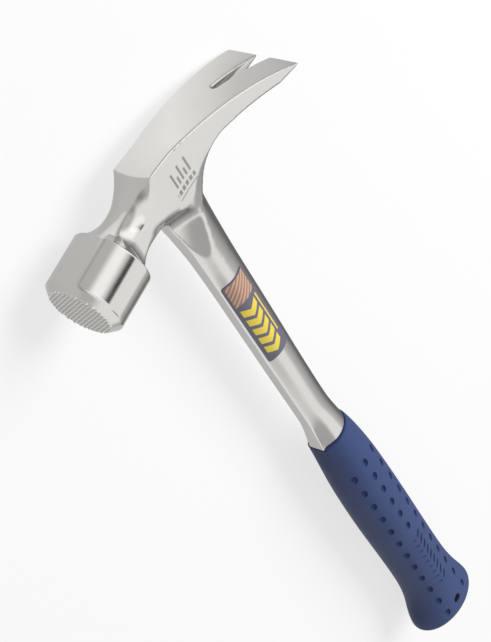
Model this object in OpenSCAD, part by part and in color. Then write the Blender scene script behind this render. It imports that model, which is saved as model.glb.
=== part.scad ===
// Framing hammer: a one-piece steel forging, a moulded grip and a label on the shank.
// X runs along the handle to the head, Y out of the striking face, Z through the thickness.
// Modules draw about the crossing of the poll axis and the handle axis, and placed() moves the
// result so that the origin is under the middle of the hammer as it lies on its side.

/* [Poll and neck] */
// Diameter of the poll
poll_d = 32; // [28:0.5:34]
// Length of the poll's round part, behind the bevel
poll_length = 21.4; // [16:0.2:24]
// Handle axis to the striking face
face_reach = 61.2; // [58:0.2:66]
// Bevel round the striking face
face_bevel = 3.5; // [2:0.1:5]
// Pitch of the milled points on the striking face
mill_pitch = 1.95; // [1.6:0.05:3]
// Depth of the milled grooves
mill_depth = 0.85; // [0.4:0.05:1.2]
// Chamfer round the poll's rear edge
poll_edge = 0.85; // [0.4:0.05:1.5]
// Diameter of the neck at its waist
neck_d = 19.4; // [18:0.2:22]
// Handle axis to the waist of the neck
neck_reach = 24.5; // [22:0.5:28]
// Length of the straight waist
neck_waist = 1.5; // [0.5:0.1:3]

/* [Cheek and claws] */
// Thickness across the cheeks
cheek_t = 17.6; // [16:0.2:19]
// Poll axis to the top of the cheek
cheek_top = 15.7; // [13:0.1:16]
// Handle axis to the front end of the cheek
cheek_front = 9; // [7:0.1:10.5]
// Slope of the top where the cheek starts
top_slope = 7.3; // [4:0.1:10]
// Handle axis to the claw tips
claw_reach = 72.9; // [66:0.5:80]
// Poll axis down to the claw tips
claw_drop = 16.4; // [12:0.2:22]
// Width across the claw tips
claw_tip_w = 33.8; // [32.4:0.2:38]
// Handle axis back to where the claws begin to flare
flare_start = 4; // [1:0.5:10]
// Thickness of the claws where they leave the cheek
claw_root_t = 9.6; // [8:0.1:12]
// Thickness of the claws at the heel of the tip bevel
claw_heel_t = 5.6; // [4:0.1:7]
// Length of the tip bevel under the claws
tip_bevel_length = 11.2; // [8:0.2:16]
// Thickness of the tip edge
claw_edge_t = 0.7; // [0.4:0.1:1.5]
// Width of the nail slot at the claw tips
slot_mouth_w = 5.8; // [5:0.1:8]
// Width of the nail slot at its closed end
slot_end_w = 2.2; // [1.5:0.1:3]
// Length of the nail slot
slot_length = 30; // [24:0.5:36]

/* [Shank and tang] */
// Poll axis to the shoulder that the grip meets
shank_length = 196.5; // [175:0.5:215]
// Handle axis to the front edge of the shank
shank_front = 8.6; // [7:0.1:10]
// Handle axis to the back edge of the shank
shank_back = 9.4; // [8:0.1:11]
// Thickness of the shank
shank_t = 12.2; // [11:0.1:14]
// Width of the flat along the shank's front edge
front_flat_w = 5; // [3:0.1:7]
// Radius of the scoop that hollows each side below the cheek
scoop_r = 64.7; // [60:0.1:70]
// Rounding of the scoop's upper end
scoop_round = 20; // [15:0.5:25]
// Poll axis down to the scoop's upper end
scoop_drop = 2.5; // [1:0.1:4]
// Handle axis forward to the scoop's axis at its upper end
scoop_front = 22.3; // [20:0.1:25]
// Middle of the thickness to the scoop's axis at its upper end
scoop_out = 67.2; // [66:0.1:72]
// Lean of the scoop's axis to the front
scoop_lean = 17.2; // [12:0.1:20]
// Lean of the scoop's axis into the shank
scoop_sink = 5.7; // [4:0.1:7]
// Handle axis forward to where the scoop has run out under the neck
scoop_end = 21; // [19:0.2:23]
// Slope at which the scoop runs out there
scoop_runout = 31; // [25:0.5:40]
// Poll axis down to the foot of the cheek
cheek_foot = 24; // [22:0.2:26]
// Gain in radius from the rear fillet to the band along the cheek's rear edge
band_gain = 4.8; // [3.6:0.1:5.6]
// Fall of that band from the cheek
band_fall = 12; // [8:0.5:16]
// Depth of the tang inside the grip, front to back
tang_depth = 16; // [12:0.5:18]
// Thickness of the tang
tang_t = 8; // [6:0.5:10]
// Length of the tang below the shoulder
tang_length = 160; // [120:1:170]

/* [Grip] */
// Length of the grip
grip_length = 196.5; // [175:0.5:220]
// Handle axis to the front of the grip at the palm
grip_front = 15.2; // [13:0.1:18]
// Handle axis to the back of the grip at the palm
grip_back = 16.4; // [14:0.1:19]
// Thickness of the grip at the palm
grip_t = 24; // [21:0.2:27]
// Length of the rounded butt end
butt_round = 8; // [6:0.5:12]
// Slope of the butt end, lowest at the heel
butt_slope = 11; // [0:0.5:15]
// Diameter of the hang hole
hang_d = 4.6; // [3:0.1:7]
// Butt end to the middle of the hang hole
hang_from_butt = 15.5; // [12:0.5:20]

/* [Label] */
// Length of the label along the shank
label_length = 57; // [40:0.5:70]
// Poll axis down to the head end of the label
label_drop = 65; // [55:0.5:80]
// Height of the label across the shank
label_w = 13.2; // [9:0.2:15]
// Handle axis forward to the label's front edge
label_front = 7.6; // [6:0.1:8]
// Thickness of the label
label_t = 0.25; // [0.15:0.05:0.5]
// Corner radius of the label
label_corner_r = 1.2; // [0.5:0.1:2.5]

/* [Hidden] */

steel_colour = [0.78, 0.77, 0.75];
grip_colour = [0.19, 0.24, 0.42];
label_colour = [0.30, 0.31, 0.40];

// One overrun for every cut and every hidden joint inside the steel
overrun = 1;

poll_r = poll_d / 2;
poll_rear = face_reach - face_bevel - poll_length;
face_r = poll_r - face_bevel;
neck_r = neck_d / 2;
cheek_half = cheek_t / 2;
corner_r = norm([cheek_top, cheek_half]);
tip_half = claw_tip_w / 2;
mill_reach = floor(face_r / mill_pitch);
butt_x = -shank_length - grip_length;

// How square the butt's rounding is: 2 would be an ellipse
butt_fullness = 2.4;
// How late along the grip the butt's slope sets in
slope_lateness = 4;

// Counts
arc_steps = 24;
ring_points = 32;
shank_rings = 30;
grip_rings = 44;

// Radius of an arc that leaves a line square to its rise and gains rise over run
function arc_radius(run, rise) = (run * run + rise * rise) / (2 * rise);

// Points of an arc about a centre, from one angle to another
function arc_points(centre, r, from, to, steps = arc_steps) = [
    for (i = [0 : steps])
        let (a = from + (to - from) * i / steps)
        centre + r * [cos(a), sin(a)]
];

// Smooth value of one column of a table whose first column rises
function table_row(table, s, i = 0) =
    i + 2 >= len(table) || s <= table[i + 1][0] ? i : table_row(table, s, i + 1);
function table_slope(table, i, c) =
    let (a = max(i - 1, 0), b = min(i + 1, len(table) - 1))
    (table[b][c] - table[a][c]) / (table[b][0] - table[a][0]);
function table_value(table, s, c) =
    let (
        i = table_row(table, s),
        gap = table[i + 1][0] - table[i][0],
        u = min(max((s - table[i][0]) / gap, 0), 1),
        from = table[i][c],
        to = table[i + 1][c],
        from_slope = table_slope(table, i, c) * gap,
        to_slope = table_slope(table, i + 1, c) * gap
    )
    from + u * from_slope
        + u * u * (3 * (to - from) - 2 * from_slope - to_slope)
        + u * u * u * (2 * (from - to) + from_slope + to_slope);

// Closed solid through rings of points that run the same way round
module loft(rings) {
    n = len(rings[0]);
    last = len(rings) - 1;
    sides = [
        for (j = [0 : last - 1], i = [0 : n - 1])
            each [
                [j * n + i, j * n + (i + 1) % n, (j + 1) * n + i],
                [j * n + (i + 1) % n, (j + 1) * n + (i + 1) % n, (j + 1) * n + i]
            ]
    ];
    start_cap = [for (i = [n - 1 : -1 : 0]) i];
    end_cap = [for (i = [0 : n - 1]) last * n + i];
    polyhedron(points = [for (r = rings) each r], faces = concat(sides, [start_cap, end_cap]));
}

// Moves the drawing frame's result to the part's own origin, under the middle of its bounds
module placed() {
    head_x = max(poll_r, cheek_top);
    heel_x = min([for (x = grip_xs, p = grip_ring(x)) p[0]]);
    translate([-(head_x + heel_x) / 2, (claw_reach - face_reach) / 2, tip_half]) children();
}

// Poll and neck

// Half outline of the poll and neck: radius, then distance from the handle axis
rear_run = poll_rear - neck_reach;
rear_rise = poll_r - poll_edge - neck_r;
rear_arc_r = arc_radius(rear_run, rear_rise);
rear_turn = asin(rear_run / rear_arc_r);
waist_front = neck_reach - neck_waist;
front_run = waist_front - cheek_front;
front_rise = corner_r - neck_r;
front_arc_r = arc_radius(front_run, front_rise);
front_turn = asin(front_run / front_arc_r);

neck_outline = concat(
    arc_points([neck_r + front_arc_r, waist_front], front_arc_r, 180 + front_turn, 180),
    arc_points([neck_r + rear_arc_r, neck_reach], rear_arc_r, 180, 180 - rear_turn)
);

module neck_turning() {
    rotate([-90, 0, 0])
        rotate_extrude($fn = 96)
            polygon(concat([[0, cheek_front]], neck_outline, [[0, poll_rear]]));
}

module poll_turning() {
    rotate([-90, 0, 0])
        rotate_extrude($fn = 96)
            polygon([
                [0, poll_rear - poll_edge],
                [poll_r - poll_edge, poll_rear - poll_edge],
                [poll_r - poll_edge, poll_rear],
                [poll_r, poll_rear + poll_edge],
                [poll_r, face_reach - face_bevel],
                [face_r, face_reach],
                [0, face_reach]
            ]);
}

// Square-cornered grooves whose lower edges cross the face and leave four-sided points
module mill_grooves() {
    for (turn = [0, 90], i = [-mill_reach - 1 : mill_reach])
        translate([0, face_reach, 0])
            rotate([0, turn, 0])
                translate([0, 0, (i + 1 / 2) * mill_pitch])
                    rotate([0, 90, 0])
                        linear_extrude(height = 2 * poll_r, center = true)
                            polygon([
                                [0, -mill_depth],
                                [mill_pitch / 2, 0],
                                [mill_pitch / 2, overrun],
                                [-mill_pitch / 2, overrun],
                                [-mill_pitch / 2, 0]
                            ]);
}

// Cheek and claws

// Top line: an arc from the front of the cheek to the claw tips, in [Y, X]
top_start = [cheek_front, cheek_top];
top_chord = [-claw_reach - cheek_front, -claw_drop - cheek_top];
top_chord_angle = atan2(-top_chord[1], -top_chord[0]);
top_turn = top_chord_angle - top_slope;
top_r = norm(top_chord) / (2 * sin(top_turn));
top_length = 2 * top_turn * PI / 180 * top_r;

// Point and slope of the top line at a length along it
function top_angle(s) = top_slope + s / top_r * 180 / PI;
function top_point(s) = top_start + top_r * [
    sin(top_slope) - sin(top_angle(s)),
    cos(top_angle(s)) - cos(top_slope)
];
// Point under the top line at a depth square to it
function under_point(s, depth) = top_point(s) + depth * [sin(top_angle(s)), -cos(top_angle(s))];

// The underside tapers from the root to the heel of the tip bevel
claw_heel_s = top_length - tip_bevel_length;
claw_root_share = 0.49;
claw_root_s = top_length * claw_root_share;
function claw_thickness(s) = claw_root_t
    + (claw_heel_t - claw_root_t) * (s - claw_root_s) / (claw_heel_s - claw_root_s);
claw_under = [
    for (i = [0 : arc_steps])
        let (s = claw_heel_s + (claw_root_s - claw_heel_s) * i / arc_steps)
        under_point(s, claw_thickness(s))
];

// Fillet from the claw's root, tangent to its underside, to the back of the shank at the cheek
cheek_back_share = 1.01;
cheek_back = shank_back * cheek_back_share;
root_point = claw_under[arc_steps];
root_run = root_point - claw_under[arc_steps - 1];
root_slope = atan2(root_run[1], root_run[0]);
back_fillet_r = (-root_point[0] - cheek_back) / (1 + sin(root_slope));
fillet_centre = root_point + back_fillet_r * [sin(root_slope), -cos(root_slope)];

// From this angle the rear edge runs straight on to the cheek's foot, which is inside the shank
edge_turn = 33;
edge_start = fillet_centre + back_fillet_r * [cos(edge_turn), sin(edge_turn)];
foot_back = edge_start[0] + (edge_start[1] + cheek_foot) * tan(edge_turn);
// Front of the cheek's foot: shares of the cheek's front and of its foot
foot_shares = [[0.5, 0.8], [1, 0.52]];

module head_side() {
    polygon(concat(
        [for (i = [0 : arc_steps]) top_point(top_length * i / arc_steps)],
        [under_point(top_length, claw_edge_t)],
        claw_under,
        arc_points(fillet_centre, back_fillet_r, 90 + root_slope, edge_turn),
        [[foot_back, -cheek_foot]],
        [for (f = foot_shares) [cheek_front * f[0], -cheek_foot * f[1]]]
    ));
}

// Half outline seen along the handle: claws flare behind the flat cheek, and the neck's flats
// run out into the poll
runout_r = poll_r - cheek_half;
plan_half = concat(
    [[-claw_reach, tip_half], [-flare_start, cheek_half]],
    arc_points([poll_rear - runout_r, cheek_half + runout_r], runout_r, -90, 0)
);

module head_plan() {
    polygon(concat(plan_half, [for (i = [len(plan_half) - 1 : -1 : 0]) [plan_half[i][0], -plan_half[i][1]]]));
}

// Nail slot: narrow at its closed end, widest between the tips
module nail_slot() {
    slot_top = slot_length - slot_end_w / 2;
    rotate([0, 90, 0])
        linear_extrude(height = 2 * (cheek_top + claw_drop) + 2 * claw_heel_t, center = true)
            union() {
                polygon([
                    [-slot_mouth_w / 2, -claw_reach - overrun],
                    [slot_mouth_w / 2, -claw_reach - overrun],
                    [slot_end_w / 2, -claw_reach + slot_top],
                    [-slot_end_w / 2, -claw_reach + slot_top]
                ]);
                translate([0, -claw_reach + slot_top]) circle(d = slot_end_w, $fn = 32);
            }
}

module head_block() {
    difference() {
        intersection() {
            union() {
                linear_extrude(height = 2 * (tip_half + overrun), center = true)
                    rotate(90)
                        mirror([0, 1])
                            head_side();
                intersection() {
                    neck_turning();
                    linear_extrude(height = 2 * poll_d, center = true)
                        polygon([
                            [-poll_d, -claw_reach],
                            [top_point(top_length / 2)[1], top_point(top_length / 2)[0]],
                            [cheek_top, cheek_front],
                            [cheek_top + face_reach * sin(top_slope), face_reach],
                            [-poll_d, face_reach]
                        ]);
                }
            }
            rotate([0, 90, 0])
                linear_extrude(height = 2 * (poll_d + claw_drop), center = true)
                    rotate(90)
                        head_plan();
        }
        nail_slot();
        bands();
    }
}

// Shank and tang

// Each row: place along the shank, then front, back, thickness and front flat as shares of the named sizes
shank_shares = [
    [0.02, 1.32, 1.34, 1.42, 1.60],
    [0.10, 1.24, 1.30, 1.43, 1.50],
    [0.14, 1.11, 1.24, 1.35, 1.35],
    [0.21, 1.01, 1.20, 1.19, 1.10],
    [0.31, 0.97, 1.16, 1.035, 1.00],
    [0.52, 0.99, 1.10, 0.98, 0.98],
    [0.75, 1.00, 1.00, 1.00, 1.00],
    [0.88, 1.00, 0.98, 1.01, 1.00],
    [0.92, 1.03, 1.00, 1.06, 1.06],
    [0.96, 1.14, 1.07, 1.16, 1.35],
    [1.00, 1.30, 1.15, 1.28, 1.75]
];

// Section of the shank grown by skin: a front flat, straight sides and a half-oval back
function shank_ring(share, skin) =
    let (
        front = table_value(shank_shares, share, 1) * shank_front + skin,
        back = table_value(shank_shares, share, 2) * shank_back + skin,
        half = table_value(shank_shares, share, 3) * shank_t / 2 + skin,
        flat = table_value(shank_shares, share, 4) * front_flat_w / 2,
        x = -share * shank_length,
        quarter = ring_points / 4,
        side = [for (i = [0 : quarter - 1])
            let (u = i / quarter) [front * (1 - u), flat + (half - flat) * sin(90 * u)]],
        rear = [for (i = [0 : quarter - 1])
            let (a = 90 * i / quarter) [-back * sin(a), half * cos(a)]],
        near = concat(side, rear, [[-back, 0]])
    )
    concat(
        [for (p = near) [x, p[0], p[1]]],
        [for (i = [len(near) - 2 : -1 : 0]) [x, near[i][0], -near[i][1]]]
    );

shank_top_share = shank_shares[0][0];

module shank_loft(skin = 0) {
    loft([
        for (j = [0 : shank_rings])
            shank_ring(shank_top_share + (1 - shank_top_share) * j / shank_rings, skin)
    ]);
}

// A round-ended scoop hollows each side below the cheek, leaves a thin web at the front and fades
// out down the shank
scoop_length = scoop_r;

module scoops() {
    for (side = [0, 1])
        mirror([0, 0, side])
            intersection() {
                translate([-scoop_drop, scoop_front, scoop_out])
                    rotate([0, -90 - scoop_sink, -scoop_lean])
                        rotate_extrude($fn = 180)
                            polygon(concat(
                                [[0, 0]],
                                arc_points([scoop_r - scoop_round, scoop_round], scoop_round, -90, 0),
                                [[scoop_r, scoop_length], [0, scoop_length]]
                            ));
                // The slope that keeps the scoop off the neck and the poll
                translate([0, scoop_end, cheek_half])
                    rotate([scoop_runout, 0, 0])
                        translate([-scoop_r, -2 * scoop_r, 0])
                            cube([2 * scoop_r, 3 * scoop_r, scoop_r]);
            }
}

// A flat cone about the rear fillet lowers a band along the cheek's rear edge
flare_angle = atan((tip_half - cheek_half) / (claw_reach - flare_start));
band_r = back_fillet_r + band_gain;
band_centre = fillet_centre + band_gain * [1, -1];
band_out = cheek_half + (-band_centre[0] - flare_start) * tan(flare_angle);

module bands() {
    for (side = [0, 1])
        mirror([0, 0, side])
            translate([band_centre[1], band_centre[0], band_out])
                rotate([-flare_angle, 0, 0]) {
                    translate([0, 0, -band_r * tan(band_fall)])
                        cylinder(h = band_r * tan(band_fall), r1 = 0, r2 = band_r, $fn = 180);
                    cylinder(h = tip_half, r = band_r, $fn = 180);
                }
}

// Flat tang with round edges, from inside the shank to its end in the grip
module tang() {
    tang_round = tang_t / 2;
    translate([-shank_length - tang_length, 0, 0])
        rotate([0, 90, 0])
            linear_extrude(height = tang_length + overrun)
                union() {
                    square([tang_t, tang_depth - tang_t], center = true);
                    for (end = [1, -1])
                        translate([0, end * (tang_depth / 2 - tang_round)])
                            circle(r = tang_round, $fn = 48);
                }
}

module forged_body() {
    color(steel_colour)
        placed() {
            difference() {
                union() {
                    head_block();
                    shank_loft();
                    poll_turning();
                }
                scoops();
                mill_grooves();
            }
            tang();
        }
}

// Grip

// Each row: place along the grip, then front, back and thickness as shares of the palm's sizes
grip_shares = [
    [0.000, 0.81, 0.69, 0.72],
    [0.035, 0.84, 0.76, 0.79],
    [0.100, 0.89, 0.85, 0.87],
    [0.180, 0.955, 0.92, 0.94],
    [0.290, 1.00, 0.965, 0.98],
    [0.430, 1.01, 0.995, 1.00],
    [0.570, 0.98, 1.01, 1.00],
    [0.720, 0.975, 1.035, 0.99],
    [0.800, 1.03, 1.07, 1.01],
    [0.855, 1.14, 1.13, 1.05],
    [0.905, 1.32, 1.22, 1.10],
    [0.945, 1.43, 1.31, 1.13],
    [1.000, 1.44, 1.38, 1.17]
];

// Share of the full section that is left in the rounded butt
function butt_share(x) =
    let (u = max(0, butt_x + butt_round - x) / butt_round)
    pow(max(0, 1 - pow(u, butt_fullness)), 1 / butt_fullness);

function grip_ring(x) =
    let (
        share = (-shank_length - x) / grip_length,
        round = max(butt_share(x), ring_end_share),
        front = table_value(grip_shares, share, 1) * grip_front * round,
        back = table_value(grip_shares, share, 2) * grip_back * round,
        half = table_value(grip_shares, share, 3) * grip_t / 2 * round
    )
    [for (i = [0 : ring_points - 1])
        let (
            a = 360 * i / ring_points,
            y = cos(a) * (cos(a) > 0 ? front : back)
        )
        [x + y * tan(butt_slope) * pow(share, slope_lateness), y, half * sin(a)]];

ring_end_share = 0.25;
butt_rings = 10;
grip_xs = concat(
    [for (j = [0 : grip_rings])
        -shank_length - (grip_length - butt_round) * j / grip_rings],
    [for (j = [1 : butt_rings]) butt_x + butt_round * (1 - sin(90 * j / butt_rings))]
);

module grip() {
    color(grip_colour)
        placed()
            difference() {
                loft([for (x = grip_xs) grip_ring(x)]);
                tang();
                translate([butt_x + hang_from_butt, 0, 0])
                    cylinder(d = hang_d, h = 2 * grip_t, center = true, $fn = 48);
            }
}

// Label

// Thin skin over the shank's upper side, cut to a rectangle with round corners
module label() {
    color(label_colour)
        placed()
            difference() {
                intersection() {
                    shank_loft(label_t);
                    translate([-label_drop - label_length, label_front - label_w, 0])
                        linear_extrude(height = shank_t)
                            union() {
                                translate([label_corner_r, 0])
                                    square([label_length - 2 * label_corner_r, label_w]);
                                translate([0, label_corner_r])
                                    square([label_length, label_w - 2 * label_corner_r]);
                                for (x = [label_corner_r, label_length - label_corner_r],
                                     y = [label_corner_r, label_w - label_corner_r])
                                    translate([x, y]) circle(r = label_corner_r, $fn = 32);
                            }
                }
                shank_loft();
            }
}

forged_body();
grip();
label();
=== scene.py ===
"""Framing hammer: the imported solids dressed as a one-piece forging, a moulded grip and a label."""

import math

import bmesh
import bpy
from bpy.props import FloatProperty, FloatVectorProperty, IntProperty, PointerProperty
from bpy.types import Operator, Panel, PropertyGroup
from mathutils import Matrix, Vector


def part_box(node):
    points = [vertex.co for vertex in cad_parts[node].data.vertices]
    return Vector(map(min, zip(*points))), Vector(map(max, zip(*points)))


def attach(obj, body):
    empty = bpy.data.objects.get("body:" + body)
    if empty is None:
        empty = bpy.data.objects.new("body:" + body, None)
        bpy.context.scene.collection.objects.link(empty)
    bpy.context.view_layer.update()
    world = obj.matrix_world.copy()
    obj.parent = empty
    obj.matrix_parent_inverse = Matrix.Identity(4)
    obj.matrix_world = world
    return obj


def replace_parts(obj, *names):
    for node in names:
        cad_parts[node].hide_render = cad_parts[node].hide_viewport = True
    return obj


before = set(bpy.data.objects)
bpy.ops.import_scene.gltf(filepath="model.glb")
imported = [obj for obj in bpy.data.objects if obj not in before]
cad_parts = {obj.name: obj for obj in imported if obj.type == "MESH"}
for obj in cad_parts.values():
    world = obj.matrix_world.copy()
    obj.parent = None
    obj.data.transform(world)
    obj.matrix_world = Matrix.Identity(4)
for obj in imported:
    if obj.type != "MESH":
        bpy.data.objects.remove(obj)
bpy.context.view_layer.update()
STEEL_LOW, STEEL_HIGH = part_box("forged_body")

bl_info = {
    "name": "Framing hammer",
    "version": (1, 0, 0),
    "blender": (4, 5, 0),
    "location": "View3D > Sidebar > Hammer",
    "description": "Forges the steel, moulds the grip and lays the label of a framing hammer",
    "category": "Object",
}

MM = 0.001
SIDES = (1, -1)
MERGE_GAP = 5e-6

# Steps and sides of turned, drawn and arched forms
TURN_STEPS = 128
FINE_STEPS = 256
ARC_STEPS = 40
BAR_STEPS = 44
BUTT_STEPS = 10
SHANK_SIDES = 24
GRIP_SIDES = 32

# Angles in degrees past which an edge counts as sharp
FORGED_EDGE = 25
TURNED_EDGE = 30
SHANK_EDGE = 40
GRIP_EDGE = 60

# Forging: shares of the sizes below, and small fits
ROOT_SHARE = 0.49
BACK_ROOM = 1.01
CHEEK_CORNERS = ((0.8, 0.9), (1.0, 0.74))
NECK_STEP = 0.85 * MM
TIP_SOFT = 0.3
BLEND_FALL = 0.4
FORGE_THINNING = 0.6
FLAT_SHARE = 0.42
SIDE_CURVE = 1.25
FRONT_MOST = 0.99
RIM_OVERLAP = 1.2 * MM
TANG_ROUND = 0.48

# Grip: its butt, rim, fits and pressed marks
BUTT_CURVE = 2.4
BUTT_LEAST = 0.25
RIM_KEEPS = (0.0, 0.3, 0.6, 0.85)
SOCKET_ROOM = 0.06 * MM
SOCKET_DEPTH = 1.4 * MM
TANG_ROOM = 0.05 * MM
LEAD_SHARE = 0.53
LEAD_IN = 0.5 * MM
OUTER_DENTS = 12
MIDDLE_DENTS = 6
CHEVRONS = 9
CHEVRON_STROKE = (3.0 * MM, 0.9 * MM, 0.8 * MM)
STROKE_OUT = 2.5 * MM
STROKE_SLANT = 0.75

# Widths in millimetres over which etched and printed marks fade
ETCH_SOFT = 0.3
PRINT_SOFT = 0.2

# Studio: the middle of the painted glow patch that the floor shows only in reflections, the side that
# the overhead gap faces and the fill for matt surfaces
PAINTED_GLOW_PLACE = (0.21, -0.05, 0.0)
GAP_SIDE = (0.716, 0.66, 0.227)
FILL_LEVEL = 0.36
# Dim and bright parts of the sky: a direction, the nearness at the edge and at the core, and the
# strength. The low ones also have the heights at which they are full and gone.
REAR_DIM = ((-0.76, -0.65, 0.0), 0.35, 0.6, 1.0)
HIGH_DIM = ((-0.6, 0.32, 0.73), 0.945, 0.975, 0.52)
LOW_DIMS = (
    ((0.914, 0.406, 0.0), 0.75, 0.95, 0.45, 0.2, 0.5),
    ((0.45, 0.89, 0.0), 0.7, 0.9, 0.42, 0.3, 0.55),
    ((0.92, -0.39, 0.0), 0.78, 0.9, 0.4, 0.38, 0.62),
)
GLOWS = (
    ((0.5, -0.33, 0.8), 0.9, 0.97, 0.22),
    ((0.38, -0.8, 0.46), 0.86, 0.97, 0.3),
)


def length(name, description, millimetres):
    """Length property whose default is given in millimetres."""
    return FloatProperty(
        name=name,
        description=description,
        default=millimetres * MM,
        min=0.0,
        precision=5,
        subtype="DISTANCE",
        unit="LENGTH",
    )


def slope(name, description, degrees):
    """Angle property whose default is given in degrees."""
    return FloatProperty(
        name=name,
        description=description,
        default=math.radians(degrees),
        subtype="ANGLE",
        unit="ROTATION",
    )


def colour(name, description, red, green, blue):
    """Colour property in linear values."""
    return FloatVectorProperty(
        name=name,
        description=description,
        default=(red, green, blue),
        size=3,
        min=0.0,
        max=1.0,
        subtype="COLOR",
    )


def rounds(name, description, count):
    """Property for a number of rounds of smoothing."""
    return IntProperty(name=name, description=description, default=count, min=0)


class HeadSizes(PropertyGroup):
    """Sizes of the head, from the striking face to the claw tips."""

    poll_diameter: length("Poll", "Diameter of the round poll", 32)
    poll_length: length("Poll length", "Round part of the poll behind its bevel", 21.4)
    face_reach: length("Face reach", "Handle axis to the striking face", 61.2)
    face_bevel: length("Face bevel", "Bevel round the striking face", 3.5)
    edge_round: length("Edge round", "Rounding of the poll's turned edges", 0.5)
    mill_pitch: length("Mill pitch", "From one milled point to the next", 1.95)
    mill_depth: length("Mill depth", "Depth of the milled grooves", 0.85)
    mill_land: length("Mill land", "Flat left on each milled point", 0.25)
    neck_diameter: length("Neck", "Diameter of the neck at its waist", 19.4)
    neck_reach: length("Neck reach", "Handle axis to the neck's waist", 24.5)
    neck_waist: length("Neck waist", "Length of the straight waist", 1.5)
    cheek_thickness: length("Cheeks", "Thickness across the cheeks", 17.6)
    cheek_top: length("Cheek top", "Poll axis to the top of the cheek", 15.7)
    cheek_front: length("Cheek front", "Handle axis to the front end of the cheek", 9)
    top_slope: slope("Top slope", "Slope of the top where the cheek starts", 7.3)
    claw_reach: length("Claw reach", "Handle axis to the claw tips", 72.9)
    claw_drop: length("Claw drop", "Poll axis down to the claw tips", 16.4)
    claw_width: length("Claw width", "Width across the claw tips", (STEEL_HIGH.z - STEEL_LOW.z) / MM)
    flare_start: length("Flare start", "Handle axis back to where the claws flare", 4)
    claw_root: length("Claw root", "Thickness of the claws where they leave the cheek", 9.6)
    claw_heel: length("Claw heel", "Thickness of the claws above the tip bevel", 5.6)
    tip_bevel: length("Tip bevel", "Length of the bevel under the claw tips", 11.2)
    claw_edge: length("Claw edge", "Thickness of the claws' edge", 0.9)
    slot_mouth: length("Slot mouth", "Width of the nail slot at the tips", 5.8)
    slot_end: length("Slot end", "Width of the nail slot at its closed end", 2.2)
    slot_length: length("Slot length", "Length of the nail slot", 30)
    cheek_foot: length("Cheek foot", "Poll axis down to the foot of the cheek", 24)
    edge_turn: slope("Edge turn", "Where the rear fillet runs straight on to the foot", 33)
    band_gain: length("Band gain", "Gain in radius from the rear fillet to the rear band", 4.8)
    band_fall: slope("Band fall", "Fall of the rear band from the cheek", 12)
    edge_soft: length("Edge softness", "Rounding of the forged edges", 0.8)


class ShankSizes(PropertyGroup):
    """Sizes of the shank and of the tang inside the grip."""

    reach: length("Shank length", "Poll axis to the grip's rim", 196.5)
    front: length("Front", "Handle axis to the front edge of the shank", 8.6)
    back: length("Back", "Handle axis to the back edge of the shank", 9.4)
    thickness: length("Thickness", "Thickness of the shank", 12.2)
    front_flat: length("Front flat", "Width of the flat along the front edge", 5)
    scoop_radius: length("Scoop radius", "Radius of the scoop below each cheek", 64.7)
    scoop_round: length("Scoop round", "Rounding of the scoop's upper end", 20)
    scoop_drop: length("Scoop drop", "Poll axis down to the scoop's upper end", 2.5)
    scoop_front: length("Scoop front", "Handle axis forward to the scoop's axis", 22.3)
    scoop_out: length("Scoop reach", "Middle of the thickness to the scoop's axis", 67.2)
    scoop_lean: slope("Scoop lean", "Lean of the scoop's axis to the front", 17.2)
    scoop_sink: slope("Scoop sink", "Lean of the scoop's axis into the shank", 5.7)
    scoop_end: length("Scoop end", "Handle axis forward to where the scoop has run out", 21)
    scoop_runout: slope("Scoop run-out", "Slope at which the scoop runs out under the neck", 31)
    tang_depth: length("Tang depth", "Depth of the tang, front to back", 16)
    tang_thickness: length("Tang thickness", "Thickness of the tang", 8)
    tang_length: length("Tang length", "Length of the tang below the grip's rim", 160)
    forge_grain: length("Forge grain", "Mesh size that the forging is skinned with", 0.4)
    forge_soften: rounds("Forge soften", "Rounds of smoothing that soften the forged edges", 18)
    blend_soften: rounds("Blend soften", "Further rounds where forged surfaces run into each other", 70)


class GripSizes(PropertyGroup):
    """Sizes of the moulded grip."""

    reach: length("Grip length", "Rim to the middle of the butt", 196.5)
    front: length("Palm front", "Handle axis to the front of the grip at the palm", 15.2)
    back: length("Palm back", "Handle axis to the back of the grip at the palm", 16.4)
    thickness: length("Palm thickness", "Thickness of the grip at the palm", 24)
    butt_round: length("Butt round", "Length of the rounded butt end", 8)
    butt_slope: slope("Butt slope", "Slope of the butt end, lowest at the heel", 11)
    hang_diameter: length("Hang hole", "Diameter of the hang hole", 4.6)
    hang_from_butt: length("Hang hole place", "Butt end to the middle of the hang hole", 15.5)
    dent_length: length("Dent length", "Length of a grip dent along the handle", 5.8)
    dent_width: length("Dent width", "Width of a grip dent", 3.4)
    dent_depth: length("Dent depth", "Depth of a grip dent", 1.6)
    dent_pitch: length("Dent pitch", "From one grip dent to the next in its row", 13.74)
    dent_start: length("Dent start", "Rim to the first dents of the outer rows", 30)
    dent_spread: length("Dent spread", "Handle axis to the outer rows of dents", 9)
    chevron_start: length("Chevron start", "Rim to the first pressed chevron", 107.5)
    chevron_pitch: length("Chevron pitch", "From one pressed chevron to the next", 6)
    mould_grain: length("Mould grain", "Mesh size that the grip is skinned with", 0.55)
    mould_soften: rounds("Mould soften", "Rounds of smoothing that soften the moulded edges", 3)


class LabelSizes(PropertyGroup):
    """Sizes of the printed label."""

    reach: length("Label length", "Length along the shank", 57)
    width: length("Label width", "Width across the shank", 13.2)
    drop: length("Label drop", "Poll axis down to the head end of the label", 65)
    front: length("Label front", "Handle axis forward to the label's front edge", 7.6)
    thickness: length("Label thickness", "Thickness of the film", 0.25)
    corner: length("Label corner", "Radius of the label's corners", 1.2)


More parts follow.
